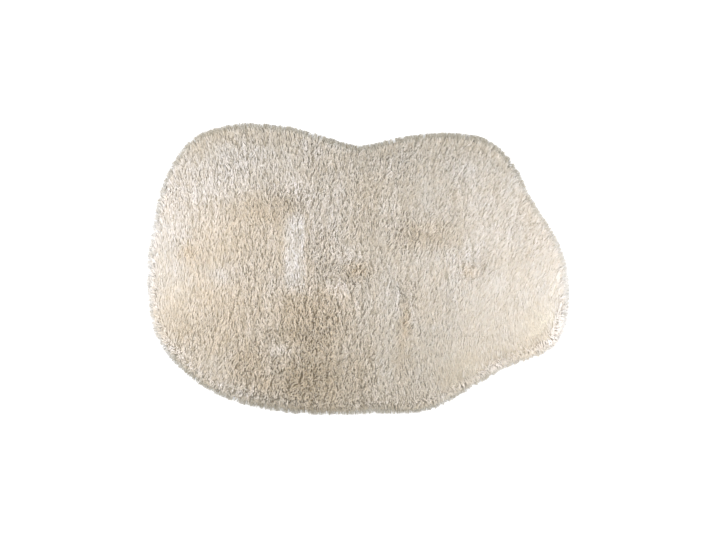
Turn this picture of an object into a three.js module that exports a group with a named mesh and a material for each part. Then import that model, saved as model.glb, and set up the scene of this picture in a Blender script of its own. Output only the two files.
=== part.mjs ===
// A long-pile wool rug with a free, rounded outline. It is one piece: pile tufted into a flat backing.
// Millimetres, +Z up. The origin is on the floor, under the middle of the rug's box, and +X runs along the rug.
import * as THREE from 'three';

// Driving dimensions, from pile tip to pile tip.
const RUG_LENGTH = 2300;
const RUG_WIDTH = 1600;
const RUG_HEIGHT = 40;

// How finely the surface is divided.
const OUTLINE_STEPS = 112;
const SURFACE_STEPS = 8;

// Where the rug's outer reach passes, counter-clockwise from the right-hand end, about the middle of its box.
const OUTLINE = [
  { x: 1150, y: -130 }, // right-hand end
  { x: 1115, y: 100 },
  { x: 955, y: 378 },
  { x: 845, y: 585 }, // far right shoulder
  { x: 690, y: 714 },
  { x: 480, y: 750 },
  { x: 235, y: 726 },
  { x: 10, y: 680 }, // shallow bay in the far side
  { x: -230, y: 744 },
  { x: -470, y: 792 },
  { x: -690, y: 794 },
  { x: -905, y: 716 }, // far left shoulder
  { x: -1045, y: 520 },
  { x: -1112, y: 270 },
  { x: -1150, y: -60 }, // left-hand end
  { x: -1102, y: -370 },
  { x: -945, y: -565 },
  { x: -690, y: -724 },
  { x: -400, y: -782 },
  { x: -100, y: -798 },
  { x: 250, y: -797 },
  { x: 440, y: -745 },
  { x: 640, y: -636 },
  { x: 800, y: -541 }, // shallow bay in the near side
  { x: 985, y: -466 },
  { x: 1105, y: -380 },
];

// The rug's edge in section, from the backing up. The pile splays out past the backing, then rounds over.
const EDGE_SECTION = [
  { inset: 24, height: 0 }, // rim of the backing, on the floor
  { inset: 9, height: 4 },
  { inset: 0, height: 12 }, // furthest reach of the pile
  { inset: 5, height: 23 },
  { inset: 20, height: 31 },
  { inset: 48, height: 35 },
];

// Soft swells where the pile has been walked on and brushed. Each runs along a heading, in degrees from +X.
const SWELLS = [
  { length: 1350, heading: 25, rise: 1.4, shift: 0.6 },
  { length: 870, heading: 110, rise: 1.2, shift: 2.1 },
  { length: 520, heading: 60, rise: 0.9, shift: 4.0 },
  { length: 390, heading: -20, rise: 0.8, shift: 1.2 },
];

// Points evenly spaced around the rug's outer reach, moved and stretched to fill the stated length and width.
function outerReach() {
  const corners = OUTLINE.map(({ x, y }) => new THREE.Vector3(x, y, 0));
  const curve = new THREE.CatmullRomCurve3(corners, true, 'centripetal');
  const points = curve.getSpacedPoints(OUTLINE_STEPS).slice(0, OUTLINE_STEPS);
  const box = new THREE.Box3().setFromPoints(points);
  const middle = box.getCenter(new THREE.Vector3());
  const extent = box.getSize(new THREE.Vector3());
  const stretch = new THREE.Vector3(RUG_LENGTH / extent.x, RUG_WIDTH / extent.y, 1);
  return points.map((point) => point.sub(middle).multiply(stretch));
}

// The outline drawn in by an even distance, square to its own run.
function drawnIn(outline, inset) {
  return outline.map((point, i) => {
    const before = outline[(i + outline.length - 1) % outline.length];
    const after = outline[(i + 1) % outline.length];
    const run = new THREE.Vector3().subVectors(after, before).normalize();
    return new THREE.Vector3(point.x - run.y * inset, point.y + run.x * inset, 0);
  });
}

// Height of the lying pile over one place, for a given height in the edge section.
function pileHeight({ x, y }, height) {
  const fullHeight = EDGE_SECTION.at(-1).height;
  const swell = SWELLS.reduce((sum, { length, heading, rise, shift }) => {
    const angle = THREE.MathUtils.degToRad(heading);
    const along = x * Math.cos(angle) + y * Math.sin(angle);
    return sum + rise * Math.sin((2 * Math.PI * along) / length + shift);
  }, 0);
  return height + swell * (height / fullHeight);
}

// Closed rings of points from the backing's rim, over the edge and in towards the middle of the rug.
function surfaceRings() {
  const reach = outerReach();
  const rings = EDGE_SECTION.map(({ inset, height }) => {
    const ring = drawnIn(reach, inset);
    ring.forEach((point) => point.setZ(pileHeight(point, height)));
    return ring;
  });
  const top = rings.at(-1);
  const { height } = EDGE_SECTION.at(-1);
  for (let step = 1; step < SURFACE_STEPS; step += 1) {
    const share = 1 - step / SURFACE_STEPS;
    const ring = top.map(({ x, y }) => new THREE.Vector3(x * share, y * share, 0));
    ring.forEach((point) => point.setZ(pileHeight(point, height)));
    rings.push(ring);
  }
  return rings;
}

// One closed skin: the flat underside, the rings, and a fan over the middle.
function rugGeometry() {
  const rings = surfaceRings();
  const crown = new THREE.Vector3(0, 0, pileHeight({ x: 0, y: 0 }, EDGE_SECTION.at(-1).height));
  const points = [...rings.flat(), crown];
  const highest = Math.max(...points.map(({ z }) => z));
  const count = OUTLINE_STEPS;
  const faces = [];

  const rim = rings[0].map(({ x, y }) => new THREE.Vector2(x, y));
  THREE.ShapeUtils.triangulateShape(rim, []).forEach(([a, b, c]) => faces.push(a, c, b));
  for (let ring = 0; ring < rings.length - 1; ring += 1) {
    for (let i = 0; i < count; i += 1) {
      const here = ring * count + i;
      const next = ring * count + ((i + 1) % count);
      faces.push(here, next, next + count, here, next + count, here + count);
    }
  }
  const innermost = (rings.length - 1) * count;
  for (let i = 0; i < count; i += 1) {
    faces.push(innermost + i, innermost + ((i + 1) % count), points.length - 1);
  }

  const geometry = new THREE.BufferGeometry();
  const positions = points.flatMap(({ x, y, z }) => [x, y, (z * RUG_HEIGHT) / highest]);
  geometry.setAttribute('position', new THREE.Float32BufferAttribute(positions, 3));
  geometry.setIndex(faces);
  geometry.computeVertexNormals();
  return geometry;
}

const wool = new THREE.MeshStandardMaterial({ color: 0xe0d6c5, roughness: 0.95, metalness: 0 });

const rug = new THREE.Mesh(rugGeometry(), wool);
rug.name = 'shag_rug';

const part = new THREE.Group();
part.add(rug);

export default part;
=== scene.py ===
import math

import bpy
import numpy as np
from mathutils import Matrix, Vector
from mathutils.bvhtree import BVHTree


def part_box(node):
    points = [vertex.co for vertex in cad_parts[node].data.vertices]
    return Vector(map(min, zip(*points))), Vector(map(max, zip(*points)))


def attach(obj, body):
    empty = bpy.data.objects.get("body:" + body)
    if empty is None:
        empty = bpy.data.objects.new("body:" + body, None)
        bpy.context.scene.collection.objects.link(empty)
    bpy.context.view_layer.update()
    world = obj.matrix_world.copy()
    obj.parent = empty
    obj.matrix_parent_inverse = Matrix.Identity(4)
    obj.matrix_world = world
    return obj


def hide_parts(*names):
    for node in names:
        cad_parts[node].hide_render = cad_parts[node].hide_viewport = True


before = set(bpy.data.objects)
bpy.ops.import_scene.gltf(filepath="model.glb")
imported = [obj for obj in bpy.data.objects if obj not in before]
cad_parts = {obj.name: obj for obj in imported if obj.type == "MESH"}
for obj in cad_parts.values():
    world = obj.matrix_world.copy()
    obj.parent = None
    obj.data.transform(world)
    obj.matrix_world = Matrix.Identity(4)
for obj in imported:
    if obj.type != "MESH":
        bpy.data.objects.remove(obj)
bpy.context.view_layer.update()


# --------------------------------------------------------------------------------------------------------
# The backing. A flat woven cloth, cut to the rug's outline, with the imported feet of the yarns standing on
# it as a dense, low bed. Its rim lies on the floor, a little inside the reach of the pile.
# --------------------------------------------------------------------------------------------------------
RIM_DECIMALS = 5
FLOOR_TOUCH = 0.0001
TINY = 1e-9

_, high_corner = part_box("shag_rug")
model_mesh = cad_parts["shag_rug"].data
model_points = np.array([vertex.co[:] for vertex in model_mesh.vertices])
model_faces = [polygon.vertices[:] for polygon in model_mesh.polygons]
model_skin = BVHTree.FromPolygons(model_points.tolist(), model_faces)

floor_points = model_points[model_points[:, 2] < FLOOR_TOUCH, :2]
rim = np.unique(np.round(floor_points, RIM_DECIMALS), axis=0)
rim = rim[np.argsort(np.arctan2(rim[:, 1], rim[:, 0]))]
rim_run = np.roll(rim, -1, axis=0) - np.roll(rim, 1, axis=0)
rim_run /= np.linalg.norm(rim_run, axis=1)[:, None]
rim_outward = np.column_stack([rim_run[:, 1], -rim_run[:, 0]])
overhang = high_corner.x - rim[:, 0].max()


def table(columns, rows):
    """Rows of numbers as rows of named values, after the names of their columns."""
    names = columns.split()
    return [dict(zip(names, row)) for row in rows]


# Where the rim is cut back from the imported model's, or left further out where it says minus.
TRIM = table("x y reach by", [
    (0.12, -0.79, 0.15, 0.020),
    (-0.68, -0.71, 0.12, 0.007),
    (-0.50, -0.76, 0.10, 0.004),
    (0.40, -0.76, 0.10, -0.007),
    (0.72, 0.68, 0.12, -0.006),
    (1.00, -0.44, 0.08, -0.007),
    (1.12, -0.10, 0.40, -0.003),
    (-0.37, 0.77, 0.09, -0.005),
    (-1.12, 0.20, 0.20, -0.004),
    (-0.15, 0.71, 0.14, 0.003),
    (0.42, 0.74, 0.16, 0.003),
])


def nearness(places, row):
    """How near each place is to a row's own: 1 there, about a third at its reach, and little beyond."""
    gap = ((places[:, 0] - row["x"]) ** 2 + (places[:, 1] - row["y"]) ** 2) / row["reach"] ** 2
    return np.exp(-gap)


rim -= rim_outward * sum(row["by"] * nearness(rim, row) for row in TRIM)[:, None]


def from_rim(places):
    """How far each place lies inside the backing's rim, and the way straight out across the rim there."""
    gap = np.full(len(places), np.inf)
    nearest = np.zeros((len(places), 2))
    crossings = np.zeros(len(places), int)
    for corner, side in zip(rim, np.roll(rim, -1, axis=0) - rim):
        offset = places - corner
        share = np.clip(offset @ side / (side @ side), 0, 1)
        foot = corner + share[:, None] * side
        distance = np.linalg.norm(places - foot, axis=1)
        closer = distance < gap
        gap[closer] = distance[closer]
        nearest[closer] = foot[closer]
        low, high = sorted((corner[1], corner[1] + side[1]))
        beside = (places[:, 1] >= low) & (places[:, 1] < high)
        meets = corner[0] + side[0] * offset[:, 1] / (side[1] or 1.0)
        crossings += beside & (meets > places[:, 0])
    inside = crossings % 2 == 1
    outward = (nearest - places) * np.where(inside, 1.0, -1.0)[:, None]
    outward /= np.maximum(np.linalg.norm(outward, axis=1), TINY)[:, None]
    return np.where(inside, gap, -gap), outward


def ease(low, high, value):
    """From 0 at the low value to 1 at the high one, softly at both ends."""
    share = np.clip((value - low) / (high - low), 0, 1)
    return share * share * (3 - 2 * share)


def zone(depth, rise, fall):
    """A soft zone along the rim: it comes in over the first pair of depths and goes over the second."""
    return ease(*rise, depth) * (1 - ease(*fall, depth))


# How the pile is brushed about each place: from 0, tousled and upright, to 1, flat and even. Some rows go
# past these two, to make up for the pull of their neighbours.
BRUSHING = table("x y reach flat", [
    (0.95, -0.10, 0.45, 1.00),
    (0.60, -0.45, 0.30, 0.85),
    (0.70, 0.45, 0.35, 0.65),
    (-1.12, 0.00, 0.25, 1.10),
    (0.15, 0.30, 0.30, 0.42),
    (0.15, -0.45, 0.12, 0.65),
    (-0.30, -0.10, 0.35, 0.25),
    (-0.35, -0.60, 0.30, -0.02),
    (-0.70, 0.50, 0.35, 0.36),
    (-0.75, -0.25, 0.30, 0.45),
    (-0.82, 0.33, 0.12, 0.65),
    (-0.85, -0.20, 0.14, 0.85),
    (-0.22, -0.23, 0.12, 0.00),
    (-0.38, 0.38, 0.08, -0.20),
    (0.00, 0.00, 0.06, 0.00),
    (0.22, 0.03, 0.10, 0.70),
    (0.36, 0.48, 0.12, 0.75),
    (0.32, 0.19, 0.12, 0.30),
    (0.26, -0.30, 0.05, 0.30),
    (0.61, 0.01, 0.07, 0.38),
    (0.24, -0.14, 0.06, 0.30),
    (-0.37, 0.49, 0.08, 0.65),
    (-0.22, 0.11, 0.08, 0.00),
    (-0.13, -0.46, 0.08, 0.45),
    (-0.92, -0.42, 0.08, 0.30),
    (0.26, 0.56, 0.08, 0.10),
    (-0.82, 0.62, 0.10, 0.70),
    (0.50, 0.55, 0.10, 0.40),
    (0.09, 0.09, 0.07, 0.60),
    (0.93, 0.22, 0.10, 0.65),
    (0.04, -0.50, 0.08, 0.30),
    (-0.75, 0.02, 0.09, 0.80),
    (0.30, -0.70, 0.12, 0.50),
    (-0.25, 0.66, 0.08, 0.10),
    (0.35, 0.34, 0.08, 0.75),
    (0.36, 0.06, 0.07, 0.70),
    (-0.42, 0.27, 0.08, 0.45),
    (-0.94, 0.12, 0.07, 0.60),
    (-0.86, -0.52, 0.09, 0.75),
    (-0.37, 0.67, 0.09, 0.55),
    (-0.47, -0.12, 0.07, 0.40),
    (-1.00, -0.33, 0.08, 0.85),
    (-1.04, -0.22, 0.08, 1.05),
    (0.25, 0.17, 0.06, 0.02),
    (-0.21, -0.37, 0.07, -0.30),
    (-0.25, -0.62, 0.10, -0.10),
    (-0.35, 0.14, 0.08, 0.80),
    (-0.34, 0.27, 0.06, 0.52),
    (-0.65, 0.18, 0.08, 0.60),
    (-0.92, 0.55, 0.07, 0.60),
    (-0.59, 0.48, 0.07, 0.55),
    (-0.80, 0.13, 0.08, 0.75),
    (-0.14, 0.63, 0.07, 0.40),
    (0.58, -0.56, 0.07, 1.10),
    (0.49, -0.14, 0.07, 0.60),
    (-0.74, -0.28, 0.08, 0.50),
    (0.00, -0.23, 0.07, 0.35),
    (-0.13, -0.68, 0.06, 0.45),
    (-0.35, 0.02, 0.07, 0.60),
    (0.98, -0.31, 0.08, 1.25),
    (-0.64, -0.05, 0.06, 0.30),
    (-0.68, 0.54, 0.07, 0.20),
    (0.03, 0.59, 0.07, 0.25),
    (0.15, -0.19, 0.06, 0.70),
    (0.45, -0.32, 0.07, 0.65),
    (0.43, 0.29, 0.07, 0.45),
])


def brushed(places):
    """How flat the pile is brushed at each place, after the rows about it."""
    total, flat = TINY, 0
    for row in BRUSHING:
        weight = nearness(places, row) / row["reach"]
        total = total + weight
        flat = flat + weight * row["flat"]
    return flat / total


# The wool's light, in levels from 0 to 255 as it is shown, and its warmth, which is how far red stands
# above blue in the same levels. Each patch is lighter or darker, warmer or cooler than plain wool: partly
# the wool's own uneven tone, and partly painted light and shade, such as the lighter ends where the end
# lamps fall and the lighter or darker places where the pile lies another way. Each fades past its half width
# and half height. It is round at 2 and squarer above.
PLAIN_LEVEL = 199
PLAIN_WARMTH = 18.5
TONE_AND_PAINTED_LIGHT_PATCHES = table("x y wide tall light warm square", [
    (-0.75, -0.05, 0.62, 0.75, 0, 5, 6),
    (-1.12, 0.10, 0.20, 0.4, 11, -9, 2),
    (-0.68, 0.54, 0.36, 0.16, 13, -6, 4),
    (-0.35, 0.72, 0.42, 0.08, -5, -2, 4),
    (-0.68, 0.12, 0.32, 0.30, 8, 3, 4),
    (-0.99, 0.22, 0.09, 0.08, 9, -4, 2),
    (-0.92, 0.10, 0.05, 0.06, 0, 10, 2),
    (-0.78, -0.34, 0.30, 0.24, 6, 5, 4),
    (-0.62, -0.53, 0.08, 0.07, -5, 5, 4),
    (-0.50, 0.35, 0.14, 0.09, -2, 5, 4),
    (-0.37, 0.36, 0.04, 0.05, -4, 3, 2),
    (-0.347, 0.11, 0.055, 0.20, 12, -11, 6),
    (-0.18, 0.32, 0.14, 0.22, 7, -4, 4),
    (-0.24, -0.26, 0.2, 0.14, 2, 13, 4),
    (-0.42, -0.43, 0.07, 0.03, 21, -6, 2),
    (-0.26, -0.63, 0.14, 0.13, -16, 12, 4),
    (-0.10, -0.10, 0.05, 0.04, 40, 5, 2),
    (0.00, 0.00, 0.07, 0.05, 5, 18, 2),
    (0.02, 0.63, 0.14, 0.06, -5, 0, 4),
    (0.35, 0.20, 0.15, 0.07, 1, 7, 4),
    (0.38, 0.40, 0.08, 0.09, 0, -8, 2),
    (0.26, -0.29, 0.025, 0.1, -4, 16, 2),
    (0.15, -0.48, 0.06, 0.17, -5, -4, 4),
    (0.42, 0.00, 0.14, 0.12, 3, -1, 4),
    (0.42, -0.42, 0.16, 0.17, -8, -5, 4),
    (0.61, 0.0, 0.05, 0.035, 9, 10, 2),
    (0.74, 0.25, 0.165, 0.17, 9, -4, 6),
    (1.15, -0.10, 0.25, 0.45, 10, -3, 2),
    (0.80, -0.20, 0.35, 0.25, 5, -3, 4),
    (0.92, -0.42, 0.10, 0.06, 3, 4, 2),
    (0.55, 0.62, 0.50, 0.15, -8, -5, 2),
    (0.42, -0.62, 0.24, 0.08, -3, -3, 4),
    (-0.84, 0.36, 0.12, 0.12, 5, -3, 4),
    (0.12, 0.10, 0.09, 0.16, -1, -2, 4),
    (-0.53, 0.5, 0.07, 0.08, -9, 0, 2),
    (-0.98, -0.43, 0.12, 0.09, 10, -6, 2),
    (0.52, -0.12, 0.07, 0.12, -3, -4, 2),
    (0.22, -0.72, 0.25, 0.10, -6, 0, 2),
    (0.03, -0.5, 0.07, 0.16, -5, 3, 4),
    (-0.06, -0.17, 0.11, 0.07, 7, 1, 2),
    (-0.77, -0.50, 0.08, 0.05, -5, -9, 2),
    (-0.76, -0.64, 0.14, 0.07, 4, -3, 2),
    (-0.34, 0.46, 0.06, 0.06, 16, -1, 2),
    (0.57, 0.08, 0.12, 0.05, 9, -3, 2),
    (-0.06, -0.62, 0.12, 0.16, -8, 5, 4),
    (-0.48, -0.17, 0.05, 0.11, 10, 0, 2),
    (1.07, -0.36, 0.06, 0.12, 19, 0, 2),
    (0.74, -0.53, 0.07, 0.04, 15, 0, 2),
    (0.85, 0.47, 0.07, 0.06, 7, -7, 2),
    (0.17, -0.14, 0.06, 0.14, 3, -6, 4),
    (-1.01, 0.36, 0.06, 0.07, 13, 0, 2),
    (-0.71, 0.68, 0.08, 0.05, 5, -2, 2),
    (-0.59, -0.44, 0.06, 0.05, -9, 2, 2),
    (0.15, 0.33, 0.06, 0.06, 8, -4, 2),
    (-0.88, -0.57, 0.08, 0.06, -3, -7, 2),
    (-0.16, -0.43, 0.05, 0.09, 0, 4, 2),
    (0.06, 0.36, 0.10, 0.20, -1, 3, 4),
    (-0.28, -0.34, 0.14, 0.04, -10, -2, 2),
    (-0.12, -0.49, 0.05, 0.1, -5, -1, 2),
    (-0.26, 0.00, 0.05, 0.06, 8, 3, 2),
    (-0.89, 0.67, 0.06, 0.05, -8, 2, 2),
    (0.17, 0.67, 0.06, 0.05, -7, 1, 2),
    (0.76, -0.05, 0.06, 0.07, 7, -4, 2),
    (-0.38, -0.52, 0.05, 0.07, 3, 1, 2),
    (-0.22, 0.65, 0.14, 0.07, 9, 0, 2),
    (-0.16, 0.16, 0.08, 0.07, 8, 6, 2),
    (-0.76, 0.73, 0.07, 0.05, -8, 1, 2),
    (0.53, 0.59, 0.08, 0.07, 8, 0, 2),
    (-0.22, -0.10, 0.06, 0.05, 0, 4, 2),
    (-0.98, 0.00, 0.06, 0.07, 5, -4, 2),
    (-0.19, 0.49, 0.06, 0.06, -9, -2, 2),
    (-0.65, -0.69, 0.10, 0.05, 9, -4, 2),
    (-0.49, 0.16, 0.05, 0.06, 8, -1, 2),
    (-0.65, 0.53, 0.06, 0.11, -4, 0, 2),
    (-0.66, -0.24, 0.06, 0.06, -3, 0, 2),
    (-0.88, -0.21, 0.06, 0.07, 7, -2, 2),
    (-0.78, 0.24, 0.07, 0.06, 8, 0, 2),
    (0.97, 0.15, 0.08, 0.12, 9, 0, 2),
    (-0.50, -0.62, 0.11, 0.05, 0, 8, 2),
    (-0.10, 0.66, 0.12, 0.05, -1, -2, 2),
    (0.31, -0.25, 0.04, 0.06, 7, 0, 2),
    (0.24, -0.50, 0.06, 0.12, -9, 2, 2),
    (-0.27, -0.44, 0.12, 0.08, -7, 8, 2),
    (-0.28, -0.09, 0.12, 0.04, 13, 1, 2),
    (0.63, 0.51, 0.12, 0.11, 10, -3, 2),
    (-0.76, -0.02, 0.06, 0.05, 7, -8, 2),
    (0.25, 0.16, 0.05, 0.05, 0, 2, 2),
    (-0.06, 0.08, 0.09, 0.04, 16, 1, 2),
    (-0.55, -0.745, 0.32, 0.05, 0, -4, 4),
    (-0.42, 0.61, 0.11, 0.09, -7, -2, 2),
    (-0.34, 0.56, 0.07, 0.06, -4, -4, 2),
    (-0.97, -0.30, 0.07, 0.12, -6, 0, 2),
    (0.55, -0.56, 0.08, 0.07, -11, 0, 2),
    (-0.45, -0.07, 0.08, 0.07, -2, -4, 2),
    (-0.36, 0.17, 0.06, 0.05, -6, 0, 2),
    (-0.54, 0.57, 0.08, 0.06, -2, -1, 2),
    (0.15, 0.54, 0.08, 0.07, 8, 0, 2),
    (0.32, 0.62, 0.10, 0.06, 6, 0, 2),
    (-0.79, 0.64, 0.09, 0.06, -6, -2, 2),
    (-0.46, 0.46, 0.06, 0.05, -5, 0, 2),
    (-0.84, -0.30, 0.08, 0.07, -6, -2, 2),
    (-0.44, 0.73, 0.10, 0.04, -5, 0, 2),
    (-0.17, -0.76, 0.08, 0.03, -6, 3, 2),
    (-0.50, -0.50, 0.08, 0.05, 6, 2, 2),
    (-0.35, -0.41, 0.07, 0.04, 6, 0, 2),
    (0.57, -0.08, 0.05, 0.06, 7, 3, 2),
    (-0.18, -0.68, 0.06, 0.05, 6, -4, 2),
    (0.57, 0.71, 0.07, 0.04, -6, 0, 2),
    (0.08, -0.59, 0.06, 0.06, 6, 0, 2),
    (-0.53, -0.28, 0.07, 0.05, 6, 0, 2),
    (-0.57, 0.69, 0.07, 0.05, 5, 0, 2),
    (-0.53, -0.66, 0.07, 0.04, 4, 1, 2),
    (-0.87, 0.16, 0.07, 0.06, 5, 0, 2),
    (0.78, 0.33, 0.07, 0.06, -5, 0, 2),
    (0.04, -0.72, 0.07, 0.05, 5, 3, 2),
    (-0.69, -0.59, 0.06, 0.05, 5, 0, 2),
    (0.61, -0.47, 0.06, 0.05, -5, 0, 2),
    (1.05, 0.17, 0.06, 0.06, 5, 0, 2),
    (-0.16, -0.18, 0.07, 0.04, 6, 0, 2),
    (0.32, 0.42, 0.06, 0.05, -5, 0, 2),
    (-0.45, -0.60, 0.22, 0.14, 0, 3, 2),
    (1.00, -0.33, 0.07, 0.06, -11, 3, 2),
    (-0.71, 0.00, 0.08, 0.07, 0, -4, 2),
    (0.63, -0.14, 0.06, 0.05, 0, -4, 2),
    (0.36, 0.06, 0.06, 0.06, 0, -4, 2),
    (0.20, 0.20, 0.06, 0.06, 6, 0, 2),
    (0.52, -0.61, 0.06, 0.05, -6, 2, 2),
    (-1.10, -0.13, 0.05, 0.07, 6, 0, 2),
    (0.54, 0.02, 0.05, 0.06, 6, 0, 2),
    (-0.95, -0.36, 0.05, 0.05, 0, 5, 2),
    (-0.37, -0.33, 0.05, 0.04, -5, 0, 2),
    (0.93, 0.33, 0.07, 0.07, 5, 0, 2),
    (-0.64, -0.05, 0.06, 0.05, 4, 0, 2),
    (-0.68, 0.54, 0.07, 0.06, 5, 0, 2),
    (0.03, 0.59, 0.07, 0.05, 4, 0, 2),
    (0.15, -0.19, 0.06, 0.05, -4, 0, 2),
    (0.45, -0.32, 0.07, 0.06, 3, 0, 2),
    (0.43, 0.29, 0.07, 0.06, 4, 0, 2),
    (0.98, -0.23, 0.08, 0.06, -10, -1, 2),
    (-0.36, 0.28, 0.06, 0.04, 3, -2, 2),
    (0.46, 0.35, 0.05, 0.05, 6, 0, 2),
    (0.06, 0.16, 0.05, 0.05, -5, 0, 2),
    (-0.29, 0.40, 0.05, 0.05, 6, 0, 2),
    (-0.26, 0.48, 0.05, 0.05, -5, 0, 2),
    (0.61, -0.53, 0.05, 0.05, 0, -4, 2),
    (0.78, 0.56, 0.06, 0.06, 1, -3, 2),
    (-0.23, -0.41, 0.05, 0.04, 3, 3, 2),
    (-0.71, 0.11, 0.05, 0.06, -5, 0, 2),
    (-0.81, 0.04, 0.05, 0.05, -5, 0, 2),
])

# Painted shade and light along the rim, in levels: the light and the warmth where the yarns hang down,
# painted darker and cooler as they turn away from the light, and the painted light close by them and a
# little further in, lighter in some places and darker in others.
HANGING_DEPTHS = (-0.020, 0.000)
NEAR_DEPTHS = {"rise": (-0.020, -0.006), "fall": (0.002, 0.026)}
WITHIN_DEPTHS = {"rise": (-0.004, 0.010), "fall": (0.025, 0.060)}
EDGE_PAINTED_LIGHT_AND_SHADE = table("x y reach light warm near within", [
    (-0.80, 0.65, 0.30, -34, -15, 1, 1),
    (-0.30, 0.72, 0.30, -39, -24, 3, 0),
    (0.50, 0.68, 0.40, -39, -22, 2, -4),
    (1.00, 0.30, 0.25, -20, -10, 4, -2),
    (1.15, -0.10, 0.25, -10, -14, 3, 6),
    (0.95, -0.42, 0.15, -14, -5, 3, 8),
    (0.60, -0.60, 0.20, -26, -14, 13, 8),
    (0.15, -0.75, 0.30, -43, -32, -18, 9),
    (-0.40, -0.75, 0.30, -53, -36, -31, 2),
    (-0.85, -0.58, 0.20, -54, -38, -12, 16),
    (-1.15, 0.00, 0.45, -8, -14, 8, 2),
])


def wool_levels(places, depth):
    """The level and the warmth of the wool about each place, at a depth inside the backing's rim."""
    level = np.full(len(places), float(PLAIN_LEVEL))
    warmth = np.full(len(places), float(PLAIN_WARMTH))
    # Patches of the wool's own tone, and of painted light and shade.
    for row in TONE_AND_PAINTED_LIGHT_PATCHES:
        gap_x = np.abs(places[:, 0] - row["x"]) / row["wide"]
        gap_y = np.abs(places[:, 1] - row["y"]) / row["tall"]
        share = np.exp(-(gap_x ** row["square"]) - gap_y ** row["square"])
        level += row["light"] * share
        warmth += row["warm"] * share
    # Painted shade where the yarns hang over the rim, and painted light and shade close by and a little
    # further in.
    at_edge = 1 - ease(*HANGING_DEPTHS, depth)
    near = zone(depth, **NEAR_DEPTHS)
    within = zone(depth, **WITHIN_DEPTHS)
    total = sum(nearness(places, row) for row in EDGE_PAINTED_LIGHT_AND_SHADE) + TINY
    for row in EDGE_PAINTED_LIGHT_AND_SHADE:
        share = nearness(places, row) / total
        level += (row["light"] * at_edge + row["near"] * near + row["within"] * within) * share
        warmth += row["warm"] * at_edge * share
    return level, warmth


# The plain wool's colour at both ends of the range of warmth, and how a level becomes light.
COOL_WOOL = np.array([0.76, 0.757, 0.766])
WARM_WOOL = np.array([0.76, 0.629, 0.450])
WARMTH_LOW = -2
WARMTH_HIGH = 44
LIGHT_POWER = 2.2


def wool_colour(level, warmth):
    """The colour of wool of a level and a warmth."""
    share = np.clip((warmth - WARMTH_LOW) / (WARMTH_HIGH - WARMTH_LOW), 0, 1)[:, None]
    colour = COOL_WOOL * (1 - share) + WARM_WOOL * share
    return colour * ((level / PLAIN_LEVEL) ** LIGHT_POWER)[:, None]


# The bed's section at the rim, from the floor inwards, and its height further in.
BED_ROUNDING = table("outset height", [
    (0.000, 0.000),
    (0.002, 0.001),
    (0.002, 0.003),
    (-0.001, 0.005),
    (-0.005, 0.007),
    (-0.014, 0.010),
])
BED_RINGS = 60
BED_HEIGHT = 0.006
BED_BRUSHED = 0.008
BED_BY_RIM = 0.002
BY_RIM_DEPTHS = {"rise": (0.01, 0.04), "fall": (0.07, 0.13)}
BED_LUMP = 0.0012
LUMPS_X = 97
LUMPS_Y = 83
LUMP_SHIFT = 1.3


def bed_height(places):
    """The bed is low where the pile is tousled, and fuller where it is brushed flat and along the rim."""
    depth, _ = from_rim(places)
    by_rim = zone(depth, **BY_RIM_DEPTHS)
    lump = np.sin(places[:, 0] * LUMPS_X) * np.sin(places[:, 1] * LUMPS_Y + LUMP_SHIFT)
    return BED_HEIGHT + BED_BRUSHED * brushed(places) + BED_BY_RIM * by_rim + BED_LUMP * lump


def bed_shape():
    """Rings from the rim on the floor, up over the edge and in to the middle, and the flat underside."""
    rings = []
    for row in BED_ROUNDING:
        place = rim + rim_outward * row["outset"]
        rings.append(np.column_stack([place, np.full(len(rim), row["height"])]))
    edge = rings[-1][:, :2]
    for step in range(1, BED_RINGS):
        place = edge * (1 - step / BED_RINGS)
        rings.append(np.column_stack([place, bed_height(place)]))
    points = np.vstack([*rings, [[0, 0, BED_HEIGHT], [0, 0, 0]]])
    count = len(rim)
    crown, under = len(points) - 2, len(points) - 1
    last = (len(rings) - 1) * count
    faces = []
    for i in range(count):
        beside = (i + 1) % count
        for ring in range(len(rings) - 1):
            here, there = ring * count + i, ring * count + beside
            faces.append((here, there, there + count, here + count))
        faces.append((last + i, last + beside, crown))
        faces.append((beside, i, under))
    return points, faces


def put_in_scene(name, data):
    """A new object that holds a mesh, a light or a camera."""
    thing = bpy.data.objects.new(name, data)
    bpy.context.scene.collection.objects.link(thing)
    return thing


def add_piece(name, points, faces):
    """A new mesh object from rows of points and rows of corner numbers."""
    mesh = bpy.data.meshes.new(name)
    mesh.from_pydata(np.asarray(points).tolist(), [], faces)
    mesh.update()
    return put_in_scene(name, mesh)


backing = add_piece("woven_backing", *bed_shape())
backing.data.shade_smooth()
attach(backing, "root")
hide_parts("shag_rug")

# The feet keep the wool's colour under painted shade: darker where the pile is tousled and stands over them,
# lighter where it is brushed flat, and tinted warmer, as shade between wool is.
RIM_ZONE = 0.045
FEET_PAINTED_SHADING = 0.75
FEET_PAINTED_SHADING_BRUSHED = 1.20
FEET_SHADE_TINT = (1.02, 1.0, 0.92)
MOST_LIGHT = 0.93


def colour_feet(piece):
    """Each point of the bed takes the colour of the wool over it, with the painted shade of the feet."""
    places = np.array([vertex.co[:2] for vertex in piece.data.vertices])
    tone = FEET_PAINTED_SHADING + (FEET_PAINTED_SHADING_BRUSHED - FEET_PAINTED_SHADING) * brushed(places)
    depth, _ = from_rim(places)
    colour = wool_colour(*wool_levels(places, depth.clip(RIM_ZONE))) * tone[:, None] * FEET_SHADE_TINT
    colour *= (MOST_LIGHT / colour.max(1)).clip(max=1)[:, None]
    rgba = np.column_stack([colour, np.ones(len(places))])
    attribute = piece.data.color_attributes.new("wool_colour", "FLOAT_COLOR", "POINT")
    attribute.data.foreach_set("color", rgba.reshape(-1).astype(np.float32))


colour_feet(backing)


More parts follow.
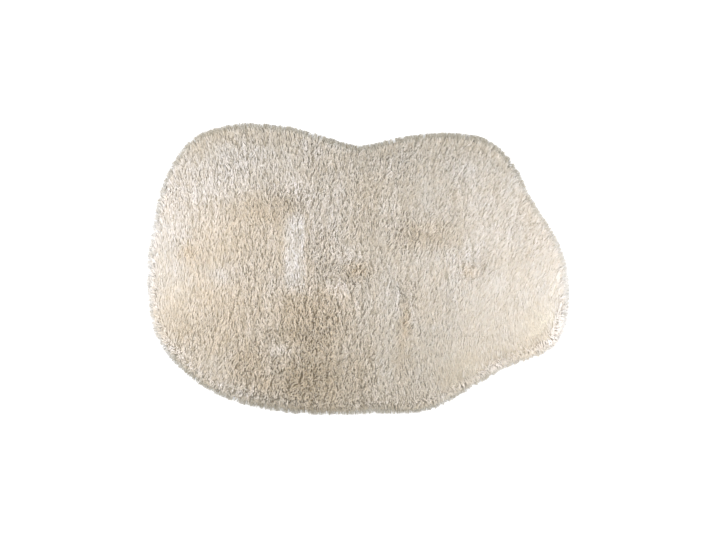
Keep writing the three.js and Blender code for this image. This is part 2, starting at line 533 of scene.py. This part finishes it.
def new_material(name, roughness, specular):
    """A material with a plain Principled surface: the material, its nodes, its links and that surface."""
    material = bpy.data.materials.new(name)
    material.use_nodes = True
    nodes, links = material.node_tree.nodes, material.node_tree.links
    nodes.clear()
    surface = nodes.new("ShaderNodeBsdfPrincipled")
    surface.inputs["Roughness"].default_value = roughness
    surface.inputs["Specular IOR Level"].default_value = specular
    output = nodes.new("ShaderNodeOutputMaterial")
    links.new(surface.outputs["BSDF"], output.inputs["Surface"])
    return material, nodes, links, surface


FEET_PER_METRE = 360
FEET_STRETCH = (1.0, 0.4, 1.0)
FEET_RELIEF = 0.003


def packed_feet_material():
    """Rounded feet, with painted shade: light in the middle and dark in the gaps between them."""
    material, nodes, links, surface = new_material("packed_yarn_feet", roughness=0.95, specular=0.15)
    where = nodes.new("ShaderNodeTexCoord")
    stretch = nodes.new("ShaderNodeMapping")
    stretch.inputs["Scale"].default_value = FEET_STRETCH
    links.new(where.outputs["Object"], stretch.inputs["Vector"])
    feet = nodes.new("ShaderNodeTexVoronoi")
    feet.inputs["Scale"].default_value = FEET_PER_METRE
    links.new(stretch.outputs["Vector"], feet.inputs["Vector"])
    # Painted shade in the gaps between the feet.
    tone = nodes.new("ShaderNodeMapRange")
    tone.inputs["From Min"].default_value = 0.15
    tone.inputs["From Max"].default_value = 0.62
    tone.inputs["To Min"].default_value = 1.0
    tone.inputs["To Max"].default_value = 0.55
    links.new(feet.outputs["Distance"], tone.inputs["Value"])
    colour = nodes.new("ShaderNodeVertexColor")
    colour.layer_name = "wool_colour"
    shaded = nodes.new("ShaderNodeVectorMath")
    shaded.operation = "SCALE"
    links.new(colour.outputs["Color"], shaded.inputs[0])
    links.new(tone.outputs["Result"], shaded.inputs["Scale"])
    links.new(shaded.outputs["Vector"], surface.inputs["Base Color"])
    raised = nodes.new("ShaderNodeBump")
    raised.invert = True
    raised.inputs["Distance"].default_value = FEET_RELIEF
    raised.inputs["Strength"].default_value = 0.8
    links.new(feet.outputs["Distance"], raised.inputs["Height"])
    links.new(raised.outputs["Normal"], surface.inputs["Normal"])
    return material


THREAD_PITCH = 0.0030
# A wave texture at scale 1 repeats over this length.
WAVE_PERIOD = 0.314
CLOTH_SHADOW = (0.36, 0.31, 0.24, 1)
CLOTH_THREAD = (0.62, 0.56, 0.46, 1)


def backing_cloth_material():
    """A plain weave: threads both ways, the higher one showing."""
    material, nodes, links, surface = new_material("woven_backing_cloth", roughness=0.95, specular=0.2)
    where = nodes.new("ShaderNodeTexCoord")
    crossing = nodes.new("ShaderNodeMath")
    crossing.operation = "MAXIMUM"
    for socket, direction in zip(crossing.inputs, ("X", "Y")):
        thread = nodes.new("ShaderNodeTexWave")
        thread.bands_direction = direction
        thread.inputs["Scale"].default_value = WAVE_PERIOD / THREAD_PITCH
        thread.inputs["Distortion"].default_value = 0.6
        links.new(where.outputs["Object"], thread.inputs["Vector"])
        links.new(thread.outputs["Fac"], socket)
    tone = nodes.new("ShaderNodeValToRGB")
    tone.color_ramp.elements[0].color = CLOTH_SHADOW
    tone.color_ramp.elements[1].color = CLOTH_THREAD
    links.new(crossing.outputs["Value"], tone.inputs["Fac"])
    links.new(tone.outputs["Color"], surface.inputs["Base Color"])
    raised = nodes.new("ShaderNodeBump")
    raised.inputs["Distance"].default_value = THREAD_PITCH / 4
    links.new(crossing.outputs["Value"], raised.inputs["Height"])
    links.new(raised.outputs["Normal"], surface.inputs["Normal"])
    return material


UNDERSIDE_FACING = -0.9

backing.data.materials.append(packed_feet_material())
backing.data.materials.append(backing_cloth_material())
for polygon in backing.data.polygons:
    polygon.material_index = int(polygon.normal.z < UNDERSIDE_FACING)


# --------------------------------------------------------------------------------------------------------
# The pile. Soft felted wool yarns, tufted through the backing and left long, so that they lie over in
# small locks: light and even where they are brushed flat, and showing their feet, darkened with painted
# shade, where they are tousled. At the rim the yarns turn outwards and hang over the edge of the backing.
# --------------------------------------------------------------------------------------------------------
SEED = 11
rng = np.random.default_rng(SEED)

# The lie of the pile: the way that the tips point, in degrees from +X, about each place.
LIE = table("x y reach heading", [
    (-0.90, 0.30, 0.45, 92),
    (-0.80, 0.72, 0.16, 106),
    (-0.35, -0.10, 0.45, 84),
    (0.15, 0.20, 0.40, 81),
    (0.55, 0.45, 0.30, 63),
    (0.95, 0.20, 0.30, 56),
    (0.70, -0.15, 0.30, 73),
    (0.98, -0.40, 0.16, 118),
    (0.45, -0.65, 0.22, 102),
    (0.20, -0.42, 0.12, 70),
    (-0.80, -0.62, 0.18, 66),
    (-0.30, -0.60, 0.16, 70),
    (-0.92, -0.18, 0.22, 78),
    (-0.45, -0.35, 0.16, 95),
])


def lie_way(places):
    """The heading of the lie at each place, after the rows about it."""
    total = np.zeros((len(places), 2))
    for row in LIE:
        angle = math.radians(row["heading"])
        weight = nearness(places, row) / row["reach"]
        total += weight[:, None] * [math.cos(angle), math.sin(angle)]
    return np.arctan2(total[:, 1], total[:, 0])


def drift(places, shortest, longest, turn=math.pi, waves=40):
    """Soft random unevenness over the rug, mostly between -2 and 2: many waves laid over each other, which
    run within a turn either side of +X."""
    total = np.zeros(len(places))
    for _ in range(waves):
        length = math.exp(rng.uniform(math.log(shortest), math.log(longest)))
        angle = rng.uniform(-turn, turn)
        shift = rng.uniform(0, 2 * math.pi)
        travel = places[:, 0] * math.cos(angle) + places[:, 1] * math.sin(angle)
        total += np.cos(2 * math.pi * travel / length + shift)
    return total * math.sqrt(2 / waves)


def skin_height(places):
    """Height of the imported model's upper side over each place."""
    heights = np.zeros(len(places))
    for i, (x, y) in enumerate(places):
        hit = model_skin.ray_cast(Vector((x, y, 1)), Vector((0, 0, -1)))[0]
        if hit is not None:
            heights[i] = hit.z
    return heights


# Locks in the field stand in staggered rows, each up to a share of the pitch off its place. The fringe is
# more locks along the rim, crowded towards it, and a few fewer where the lie points out over the rim itself.
LOCK_PITCH_X = 0.0152
LOCK_PITCH_Y = 0.0212
LOCK_STRAY = 0.28
FRINGE_PITCH = 0.0056
FRINGE_DEPTH = 0.045
FRINGE_CROWDING = 1.8
FRINGE_KEPT = 0.80
FRINGE_KEPT_INWARD = 0.20
RIM_MARGIN = 0.001
JUST_INSIDE = 0.9999


def lock_places():
    """Where the locks stand, and for each: its depth inside the rim, the way out, whether it is fringe, the
    heading of its lie, and how far that is inwards."""
    low, high = rim.min(0), rim.max(0)
    columns = np.arange(low[0], high[0] + LOCK_PITCH_X, LOCK_PITCH_X)
    rows = np.arange(low[1], high[1] + LOCK_PITCH_Y, LOCK_PITCH_Y)
    across, up = np.meshgrid(columns, rows)
    across[1::2] += LOCK_PITCH_X / 2
    field = np.column_stack([across.ravel(), up.ravel()])
    field += rng.uniform(-LOCK_STRAY, LOCK_STRAY, field.shape) * [LOCK_PITCH_X, LOCK_PITCH_Y]
    sides = np.linalg.norm(np.roll(rim, -1, axis=0) - rim, axis=1)
    runs = np.arange(0, sides.sum(), FRINGE_PITCH)
    start = np.append(0, np.cumsum(sides))
    closed = np.vstack([rim, rim[:1]])
    edge = np.column_stack([np.interp(runs, start, closed[:, axis]) for axis in (0, 1)])
    _, out = from_rim(edge * JUST_INSIDE)
    edge -= out * (RIM_MARGIN + FRINGE_DEPTH * rng.random(len(edge)) ** FRINGE_CROWDING)[:, None]
    places = np.vstack([field, edge])
    fringe = np.arange(len(places)) >= len(field)
    depth, outward = from_rim(places)
    way = lie_way(places)
    inward = np.maximum(-np.cos(way) * outward[:, 0] - np.sin(way) * outward[:, 1], 0)
    share = np.where(fringe, FRINGE_KEPT + FRINGE_KEPT_INWARD * inward, 1)
    kept = (depth > RIM_MARGIN) & (rng.random(len(places)) < share)
    return places[kept], depth[kept], outward[kept], fringe[kept], way[kept], inward[kept]


lock_place, lock_depth, lock_outward, fringe, heading, inward = lock_places()
locks = len(lock_place)
lock_flat = brushed(lock_place)
lock_top = skin_height(lock_place)
by_rim = 1 - ease(0, RIM_ZONE, lock_depth)

# How uneven the locks are: most where the pile is tousled, least where it is brushed flat.
TOUSLE = 1.25
TOUSLE_BRUSHED = 0.95
tousle = TOUSLE - TOUSLE_BRUSHED * lock_flat

# How far the locks turn off the lie, in degrees: in wide drifts, in narrow streaks, and each by itself.
DRIFT_TURN = 5
DRIFT_LENGTHS = (0.05, 0.25)
STREAK_TURN = 10
STREAK_LENGTHS = (0.035, 0.090)
STREAK_SWING = 0.35
LOCK_TURN = 7
heading += math.radians(DRIFT_TURN) * tousle * drift(lock_place, *DRIFT_LENGTHS)
streaks = drift(lock_place, *STREAK_LENGTHS, turn=STREAK_SWING)
heading += math.radians(STREAK_TURN) * tousle * (1 - by_rim) * streaks
heading += rng.normal(0, math.radians(LOCK_TURN), locks) * tousle
lie = np.column_stack([np.cos(heading), np.sin(heading)])

# How far the locks lean, as the share of a yarn's length that lies level. Beside the rim they stand more
# upright where the lie points inwards, the fringe follows the lie less, and all spill outwards.
LEAN = 0.52
LEAN_BRUSHED = 0.32
LEAN_SPREAD = 0.07
LEAN_STRAY = 0.05
LEAN_STRAY_BY_RIM = 0.18
LEAN_LIMITS = (0.12, 0.90)
UPRIGHT = 0.50
UPRIGHT_DEPTHS = (0.020, 0.080)
UPRIGHT_BRUSHED = 0.7
TURNED_DEPTHS = (0.010, 0.045)
FRINGE_TURNED = 0.75
FRINGE_SPILL = 0.80
SPILL = 0.20
SPILL_BRUSHED = 0.25
upright = UPRIGHT * inward * (1 - ease(*UPRIGHT_DEPTHS, lock_depth)) * (1 - UPRIGHT_BRUSHED * lock_flat)
turned_out = 1 - ease(*TURNED_DEPTHS, lock_depth)
spill = np.where(fringe, FRINGE_SPILL * turned_out, (SPILL + SPILL_BRUSHED * lock_flat) * by_rim)
lean_amount = LEAN + LEAN_BRUSHED * lock_flat + rng.normal(0, LEAN_SPREAD, locks) * tousle
lean_amount *= np.where(fringe, 1 - FRINGE_TURNED * turned_out, 1 - upright)
lean = lie * lean_amount[:, None] + lock_outward * spill[:, None]
stray = rng.normal(0, LEAN_STRAY, lean.shape) * tousle[:, None]
lean += stray + rng.normal(0, LEAN_STRAY_BY_RIM, lean.shape) * by_rim[:, None]
lean_size = np.linalg.norm(lean, axis=1)
lean *= (lean_size.clip(*LEAN_LIMITS) / lean_size)[:, None]

YARN_LENGTH = 0.039
LENGTH_SPREAD = 0.004
FRINGE_LENGTH = 1.28
lock_length = YARN_LENGTH + rng.normal(0, LENGTH_SPREAD, locks) * tousle
lock_length *= np.where(fringe, FRINGE_LENGTH, 1.0)

# A yarn has a ring of points at each of these shares of its length, and ends in a soft point.
YARN_RINGS = table("share girth", [
    (0.00, 0.80),
    (0.45, 1.00),
    (0.92, 0.85),
])
shares = np.array([row["share"] for row in YARN_RINGS] + [1.0])

# A lock's yarns, each somewhere in a cell of its own, with how they stand and how far each strays from the
# rest. A soft yarn keeps only part of its height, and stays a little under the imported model's skin.
YARNS_ACROSS = 2
YARNS_ALONG = 3
YARN_SEAT = (0.05, 0.95)
YARN_RADIUS = 0.0025
YARN_LENGTHS = (0.70, 1.12)
YARN_TURN = 14
YARN_LEAN_SPREAD = 0.09
YARN_LEAN_LIMITS = (0.10, 0.95)
FOOT_HEIGHT = 0.005
HEIGHT_KEPT = 0.72
RISE_SPREAD = 0.0018
UNDER_SKIN = 0.002
WAVER = 0.0022
# They draw together up to this share of their length, less where they are brushed flat and by the rim.
GATHER = 0.28
GATHER_TOUSLED = 1.1
GATHER_BY_RIM = 0.8
GATHERED_AT = 0.62
# Near the rim, where the lie points inwards, some yarns turn outwards instead.
OUTWARD_ZONE = 0.060
OUTWARD_LEANS = (0.30, 0.88)
OUTWARD_STRAY = 0.12
# The bow of a yarn: it rises first, and runs level towards its tip.
BOW_START = 0.30
BOW_END = 0.70
BOW_POWER = 1.7
BOW_ARC = 0.57


def lay_yarns():
    """The line of every yarn, from its foot in the bed to its tip, and the lock that it belongs to."""
    cells = YARNS_ACROSS * YARNS_ALONG
    owner = np.repeat(np.arange(locks), cells)
    number = len(owner)
    yarn_tousle = tousle[owner]
    cell = np.tile(np.arange(cells), locks)
    seat = np.column_stack([cell % YARNS_ACROSS / YARNS_ACROSS, cell // YARNS_ACROSS / YARNS_ALONG])
    seat += rng.uniform(*YARN_SEAT, (number, 2)) / [YARNS_ACROSS, YARNS_ALONG]
    spread = (seat - 0.5) * [LOCK_PITCH_X, LOCK_PITCH_Y]
    depth, outward = from_rim(lock_place[owner] + spread)
    turned = rng.random(number) < inward[owner] * (1 - ease(0, OUTWARD_ZONE, depth))
    yarn_lean = np.where(turned[:, None], outward * rng.uniform(*OUTWARD_LEANS, (number, 1)), lean[owner])
    yarn_lean += rng.normal(0, OUTWARD_STRAY, (number, 2)) * turned[:, None]
    size = np.linalg.norm(yarn_lean, axis=1)
    way = yarn_lean / size[:, None]
    sideways = np.column_stack([-way[:, 1], way[:, 0]])
    across = np.sum(spread * sideways, axis=1)
    length = lock_length[owner] * rng.uniform(*YARN_LENGTHS, number)
    turn = rng.normal(0, math.radians(YARN_TURN), number) * yarn_tousle
    way = way * np.cos(turn)[:, None] + sideways * np.sin(turn)[:, None]
    size = (size + rng.normal(0, YARN_LEAN_SPREAD, number) * yarn_tousle).clip(*YARN_LEAN_LIMITS)
    rise = FOOT_HEIGHT + length * np.sqrt(1 - size**2) * HEIGHT_KEPT
    rise += rng.normal(0, RISE_SPREAD, number) * yarn_tousle
    rise = np.minimum(rise, lock_top[owner] - UNDER_SKIN)
    gathered = GATHER * (GATHER_TOUSLED - lock_flat[owner]) * (1 - GATHER_BY_RIM * by_rim[owner])
    waver = rng.normal(0, WAVER, (number, len(shares), 2)) * yarn_tousle[:, None, None]
    lines = np.zeros((number, len(shares), 3))
    for k, share in enumerate(shares):
        hold = gathered * ease(0, GATHERED_AT, share)
        travel = way * (length * size * (BOW_START * share + BOW_END * share**BOW_POWER))[:, None]
        lines[:, k, :2] = lock_place[owner] + spread - sideways * (across * hold)[:, None] + travel
        lines[:, k, :2] += waver[:, k] * share
        lines[:, k, 2] = FOOT_HEIGHT + (rise - FOOT_HEIGHT) * math.sin(share * math.pi * BOW_ARC)
    kept = depth > 0
    return owner[kept], lines[kept]


owner, lines = lay_yarns()

# How far the yarns reach past the rim: freely up to a share of each one's limit, and ever less beyond it.
REACH_MORE = 0.0075
REACH_SPREAD = 0.003
REACH_LEAST = 0.006
FREE_SHARE = 0.7
HELD_SHARE = 0.3
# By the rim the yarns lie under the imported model's skin, and part of the fringe hangs down over the edge.
SKIN_ZONE = 0.04
SUNK_SPREAD = 0.007
HANGING = 0.65
HANG_DROP = 0.013


def fall_over_rim(lines):
    """Yarns that reach past the rim bend down towards the floor and stay inside the reach of the pile."""
    rings = lines.shape[1]
    flat = lines.reshape(-1, 3).copy()
    depth, outward = from_rim(flat[:, :2])
    reach = np.maximum(-depth, 0)
    limit = overhang + REACH_MORE - rng.exponential(REACH_SPREAD, len(lines))
    limit = np.repeat(np.maximum(limit, REACH_LEAST), rings)
    excess = np.tanh(np.maximum(reach / limit - FREE_SHARE, 0) / HELD_SHARE)
    held = np.minimum(reach, FREE_SHARE * limit + HELD_SHARE * limit * excess)
    flat[:, :2] -= outward * (reach - held)[:, None]
    sunk = YARN_RADIUS + rng.uniform(0, SUNK_SPREAD, len(lines))
    hangs = fringe[owner] & (rng.random(len(lines)) < HANGING)
    sunk = np.repeat(np.where(hangs, sunk + HANG_DROP, sunk), rings)
    hangs = np.repeat(hangs, rings)
    droop = np.where(hangs, ease(0, overhang, reach), 1)
    ceiling = np.where(depth < SKIN_ZONE, skin_height(flat[:, :2]) - sunk * droop, high_corner.z)
    flat[:, 2] = np.minimum(flat[:, 2], np.maximum(ceiling, YARN_RADIUS))
    return flat.reshape(lines.shape)


lines = fall_over_rim(lines)

# Each yarn takes one of a few tones, hues and shades of foot after the place of the ring that shows, and
# its finish coordinates carry them to the material.
SHOWING_RING = 2
TONES = 48
TONE_LOW = 0.55
TONE_HIGH = 1.12
HUES = 14
FEET = 6
# How uneven the light is, in levels. Every lock and every yarn is lifted a little and set back by a random
# amount of its own, there are faint streaks, and the fringe varies from yarn to yarn.
SHADE_LIFT = 5
LOCK_SHADE = 5
YARN_SHADE = 6
STREAK_SHADE = 4
SHADE_SWING = 0.25
FRINGE_SHADE = 6
# The tones allow for how the pile catches the light, which is most where it is brushed flat.
PILE_DARKER = 2.5
BRUSHED_DARKER = 7.5
PILE_COOLER = 1.5
BRUSHED_WARMER = 4
WARMTH_SPREAD = 1.5
WARMTH_LENGTHS = (0.03, 0.2)
# The feet take the least painted shade where the pile is brushed flat, and less by the rim.
FOOT_BY_RIM = 0.3
FOOT_SPREAD = 0.15

yarn_place = lines[:, SHOWING_RING, :2]
yarn_flat = lock_flat[owner]
yarn_tousle = tousle[owner]
tip_depth, _ = from_rim(lines[:, -1, :2])
level, warmth = wool_levels(yarn_place, tip_depth)
lock_lift = SHADE_LIFT - rng.exponential(LOCK_SHADE, locks)[owner]
level += (lock_lift + SHADE_LIFT - rng.exponential(YARN_SHADE, len(lines))) * yarn_tousle
level += STREAK_SHADE * yarn_tousle * drift(yarn_place, *STREAK_LENGTHS, turn=SHADE_SWING)
level += rng.normal(0, FRINGE_SHADE, len(lines)) * fringe[owner] - PILE_DARKER - BRUSHED_DARKER * yarn_flat
uneven = drift(yarn_place, *WARMTH_LENGTHS) + rng.normal(0, WARMTH_SPREAD, len(lines))
warmth += uneven + BRUSHED_WARMER * yarn_flat - PILE_COOLER
tone_share = (level / PLAIN_LEVEL - TONE_LOW) / (TONE_HIGH - TONE_LOW)
hue_share = (warmth - WARMTH_LOW) / (WARMTH_HIGH - WARMTH_LOW)
foot_share = yarn_flat + FOOT_BY_RIM * (by_rim * ~fringe)[owner] + rng.normal(0, FOOT_SPREAD, len(lines))


def nearest_step(share, steps):
    """The nearest of a number of even steps from 0 to 1, counted from 0."""
    return np.clip(np.round(share * (steps - 1)), 0, steps - 1)


yarn_tone = nearest_step(tone_share, TONES)
yarn_hue = nearest_step(hue_share, HUES)
yarn_foot = nearest_step(foot_share, FEET)

YARN_SIDES = 3
GIRTH = 0.95
GIRTH_BRUSHED = 0.30
GIRTHS = (0.85, 1.18)
FLOOR_GAP = 0.0004
# A yarn keeps this far inside its own cell of the finish coordinates, so that no tone runs into the next.
TONE_MARGIN = 0.08
FOOT_MARGIN = 0.05


def yarn_faces():
    """The triangles of one closed yarn, and each corner's turn round the yarn and share of its length."""
    rings = len(YARN_RINGS)
    tip = rings * YARN_SIDES
    faces, turns = [], []
    for k in range(rings - 1):
        for j in range(YARN_SIDES):
            here, beside = k * YARN_SIDES + j, k * YARN_SIDES + (j + 1) % YARN_SIDES
            faces += [(here, beside, beside + YARN_SIDES), (here, beside + YARN_SIDES, here + YARN_SIDES)]
            turns += [(j, j + 1, j + 1), (j, j + 1, j)]
    for j in range(YARN_SIDES):
        faces.append((tip - YARN_SIDES + j, tip - YARN_SIDES + (j + 1) % YARN_SIDES, tip))
        turns.append((j, j + 1, j + 0.5))
    # One more triangle closes the foot.
    faces.append((2, 1, 0))
    turns.append((2, 1, 0))
    share_at = np.append(np.repeat(shares[:-1], YARN_SIDES), 1.0)
    return np.array(faces), np.array(turns) / YARN_SIDES, share_at[np.array(faces)]


def yarn_points(chosen):
    """The corners of the chosen yarns: rings square to each yarn's line, and its tip."""
    line = lines[chosen]
    number = len(line)
    radius = YARN_RADIUS * rng.uniform(*GIRTHS, number) * (GIRTH + GIRTH_BRUSHED * yarn_flat[chosen])
    along = np.gradient(line, axis=1)
    along /= np.linalg.norm(along, axis=2, keepdims=True)
    sideways = np.cross(along, [0.0, 0.0, 1.0])
    sideways /= np.maximum(np.linalg.norm(sideways, axis=2, keepdims=True), TINY)
    upwards = np.cross(sideways, along)
    start = rng.uniform(0, 2 * math.pi, number)
    points = np.zeros((number, len(YARN_RINGS) * YARN_SIDES + 1, 3))
    for k, row in enumerate(YARN_RINGS):
        for j in range(YARN_SIDES):
            angle = (start + 2 * math.pi * j / YARN_SIDES)[:, None]
            off = np.cos(angle) * sideways[:, k] + np.sin(angle) * upwards[:, k]
            points[:, k * YARN_SIDES + j] = line[:, k] + off * (radius * row["girth"])[:, None]
    points[:, -1] = line[:, -1]
    points[..., 2] = np.maximum(points[..., 2], FLOOR_GAP)
    return points


def yarn_piece(name, chosen):
    """One joined mesh of the chosen yarns, each with its tone, hue and foot in its finish coordinates."""
    points = yarn_points(chosen)
    faces, turns, share_at = yarn_faces()
    number, per_yarn = points.shape[:2]
    corners = (faces[None] + per_yarn * np.arange(number)[:, None, None]).reshape(-1)
    mesh = bpy.data.meshes.new(name)
    mesh.vertices.add(number * per_yarn)
    mesh.vertices.foreach_set("co", points.reshape(-1).astype(np.float32))
    mesh.loops.add(len(corners))
    mesh.loops.foreach_set("vertex_index", corners.astype(np.int32))
    mesh.polygons.add(len(corners) // 3)
    mesh.polygons.foreach_set("loop_start", np.arange(0, len(corners), 3, dtype=np.int32))
    mesh.update(calc_edges=True)
    mesh.shade_smooth()
    tone = yarn_tone[chosen][:, None, None]
    family = (yarn_hue[chosen] * FEET + yarn_foot[chosen])[:, None, None]
    finish = np.zeros((number, len(faces), 3, 2))
    finish[..., 0] = (tone + TONE_MARGIN + (1 - 2 * TONE_MARGIN) * turns) / TONES
    finish[..., 1] = (family + FOOT_MARGIN + (1 - 2 * FOOT_MARGIN) * share_at) / (HUES * FEET)
    mesh.uv_layers.new(name="OFBake").data.foreach_set("uv", finish.reshape(-1).astype(np.float32))
    return put_in_scene(name, mesh)


# The feet of tousled yarns are painted this dark, as shade under the pile over them, and lighten over this
# part of the length.
FOOT_SHADE = 0.54
FOOT_RUN = (0.10, 0.60)
# The darker a part of the wool is, the warmer it is, as painted warmth of shade between the yarns: each
# colour channel falls off at a power of its own, over the wool's darker tones and its painted shade alike.
SHADE_POWERS = [0.87, 1.0, 1.34]
# A groove of painted shade winds round each yarn: its turns along the length, how dark it is where the pile
# is tousled and where it is brushed flat, and how narrow it is.
YARN_TWISTS = 2.0
TWIST_DEPTH = 0.40
TWIST_DEPTH_BRUSHED = 0.06
TWIST_NARROWNESS = 6.0


def wool_material():
    """Each yarn has its own tone and hue, darkens with painted shade towards its foot, and has a soft groove
    of painted shade winding round.
    """
    material, nodes, links, surface = new_material("felted_wool_yarn", roughness=0.9, specular=0.15)

    def calc(operation, *values):
        """A math node fed by numbers or by sockets."""
        node = nodes.new("ShaderNodeMath")
        node.operation = operation
        for socket, value in zip(node.inputs, values):
            if isinstance(value, bpy.types.NodeSocket):
                links.new(value, socket)
            else:
                socket.default_value = value
        return node.outputs[0]

    finish = nodes.new("ShaderNodeUVMap")
    finish.uv_map = "OFBake"
    parts = nodes.new("ShaderNodeSeparateXYZ")
    links.new(finish.outputs["UV"], parts.inputs["Vector"])
    tone_place = calc("MULTIPLY", parts.outputs["X"], TONES)
    hue_place = calc("MULTIPLY", parts.outputs["Y"], HUES)
    tone_step = calc("DIVIDE", calc("FLOOR", tone_place), TONES - 1)
    hue_step = calc("DIVIDE", calc("FLOOR", hue_place), HUES - 1)
    foot_place = calc("MULTIPLY", calc("FRACT", hue_place), FEET)
    foot_step = calc("DIVIDE", calc("FLOOR", foot_place), FEET - 1)
    run = calc("FRACT", foot_place)

    hue = nodes.new("ShaderNodeValToRGB")
    hue.color_ramp.elements[0].color = (*COOL_WOOL, 1)
    hue.color_ramp.elements[1].color = (*WARM_WOOL, 1)
    links.new(hue_step, hue.inputs["Fac"])
    tone = calc("MULTIPLY", tone_step, TONE_HIGH - TONE_LOW)
    light = calc("POWER", calc("ADD", tone, TONE_LOW), LIGHT_POWER)
    # Painted shade towards each yarn's foot, least where the pile is brushed flat.
    foot_light = calc("ADD", calc("MULTIPLY", foot_step, 1 - FOOT_SHADE), FOOT_SHADE)
    foot = nodes.new("ShaderNodeMapRange")
    foot.interpolation_type = "SMOOTHSTEP"
    foot.inputs["From Min"].default_value = FOOT_RUN[0]
    foot.inputs["From Max"].default_value = FOOT_RUN[1]
    foot.inputs["To Max"].default_value = 1.0
    links.new(run, foot.inputs["Value"])
    links.new(foot_light, foot.inputs["To Min"])

    # The groove of painted shade, shallow where the pile is brushed flat.
    around = calc("FRACT", tone_place)
    winding = calc("ADD", around, calc("MULTIPLY", run, YARN_TWISTS))
    wave = calc("SINE", calc("MULTIPLY", winding, 2 * math.pi))
    hollow = calc("POWER", calc("MULTIPLY_ADD", wave, 0.5, 0.5), TWIST_NARROWNESS)
    depth = calc("MULTIPLY_ADD", foot_step, TWIST_DEPTH_BRUSHED - TWIST_DEPTH, TWIST_DEPTH)
    groove = calc("SUBTRACT", 1.0, calc("MULTIPLY", hollow, depth))
    strength = calc("MULTIPLY", calc("MULTIPLY", light, foot.outputs["Result"]), groove)
    tint = nodes.new("ShaderNodeCombineXYZ")
    for socket, power in zip(tint.inputs, SHADE_POWERS):
        links.new(calc("POWER", strength, power), socket)
    shaded = nodes.new("ShaderNodeVectorMath")
    shaded.operation = "MULTIPLY"
    links.new(hue.outputs["Color"], shaded.inputs[0])
    links.new(tint.outputs["Vector"], shaded.inputs[1])
    links.new(shaded.outputs["Vector"], surface.inputs["Base Color"])
    surface.inputs["Diffuse Roughness"].default_value = 1.0
    surface.inputs["Sheen Weight"].default_value = 0.6
    surface.inputs["Sheen Roughness"].default_value = 0.6
    return material


# The yarns are joined in five bands from end to end.
BANDS = 5

wool = wool_material()
band_of = np.argsort(np.argsort(yarn_place[:, 0])) * BANDS // len(lines)
for number in range(BANDS):
    piece = yarn_piece(f"pile_band_{number + 1}", band_of == number)
    piece.data.materials.append(wool)
    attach(piece, "root")


# --------------------------------------------------------------------------------------------------------
# The studio. A pale seamless floor under the rug, an even soft dome of light, a large soft lamp beyond
# each end, and a camera that looks straight down.
# --------------------------------------------------------------------------------------------------------
FLOOR_HALF = 14.0
FLOOR_COLOUR = (0.9, 0.9, 0.9, 1)

corners = [(-1, -1), (1, -1), (1, 1), (-1, 1)]
floor = add_piece("studio_floor", [(x * FLOOR_HALF, y * FLOOR_HALF, 0) for x, y in corners], [(0, 1, 2, 3)])
floor_material, _, _, surface = new_material("pale_floor", roughness=0.9, specular=0.1)
surface.inputs["Base Color"].default_value = FLOOR_COLOUR
floor.data.materials.append(floor_material)

DOME_COLOUR = (1, 1, 1, 1)
DOME_STRENGTH = 1.45

world = bpy.data.worlds.new("soft_studio")
bpy.context.scene.world = world
world.use_nodes = True
background = world.node_tree.nodes["Background"]
background.inputs["Color"].default_value = DOME_COLOUR
background.inputs["Strength"].default_value = DOME_STRENGTH

END_LAMPS = [
    {"name": "lamp_left", "x": -3.6, "y": 0.3, "z": 3.0, "watts": 50},
    {"name": "lamp_right", "x": 3.6, "y": -0.1, "z": 3.0, "watts": 50},
]
LAMP_SIZE = 1.8
AIM_SHARE = 0.5

for row in END_LAMPS:
    light = bpy.data.lights.new(row["name"], "AREA")
    light.size = LAMP_SIZE
    light.energy = row["watts"]
    lamp = put_in_scene(row["name"], light)
    lamp.location = (row["x"], row["y"], row["z"])
    aim = Vector((row["x"] * AIM_SHARE, 0, 0)) - lamp.location
    lamp.rotation_euler = aim.to_track_quat("-Z", "Y").to_euler()
    lamp.visible_camera = False

# The view is this wide halfway up the pile.
VIEW_WIDTH = 3.911
LENS = 85.0
SENSOR = 36.0

camera_data = bpy.data.cameras.new("camera")
camera_data.lens = LENS
camera_data.sensor_width = SENSOR
camera = put_in_scene("camera", camera_data)
camera.location = (0, 0, high_corner.z / 2 + VIEW_WIDTH * LENS / SENSOR)
bpy.context.scene.camera = camera
bpy.context.scene.view_settings.view_transform = "Standard"
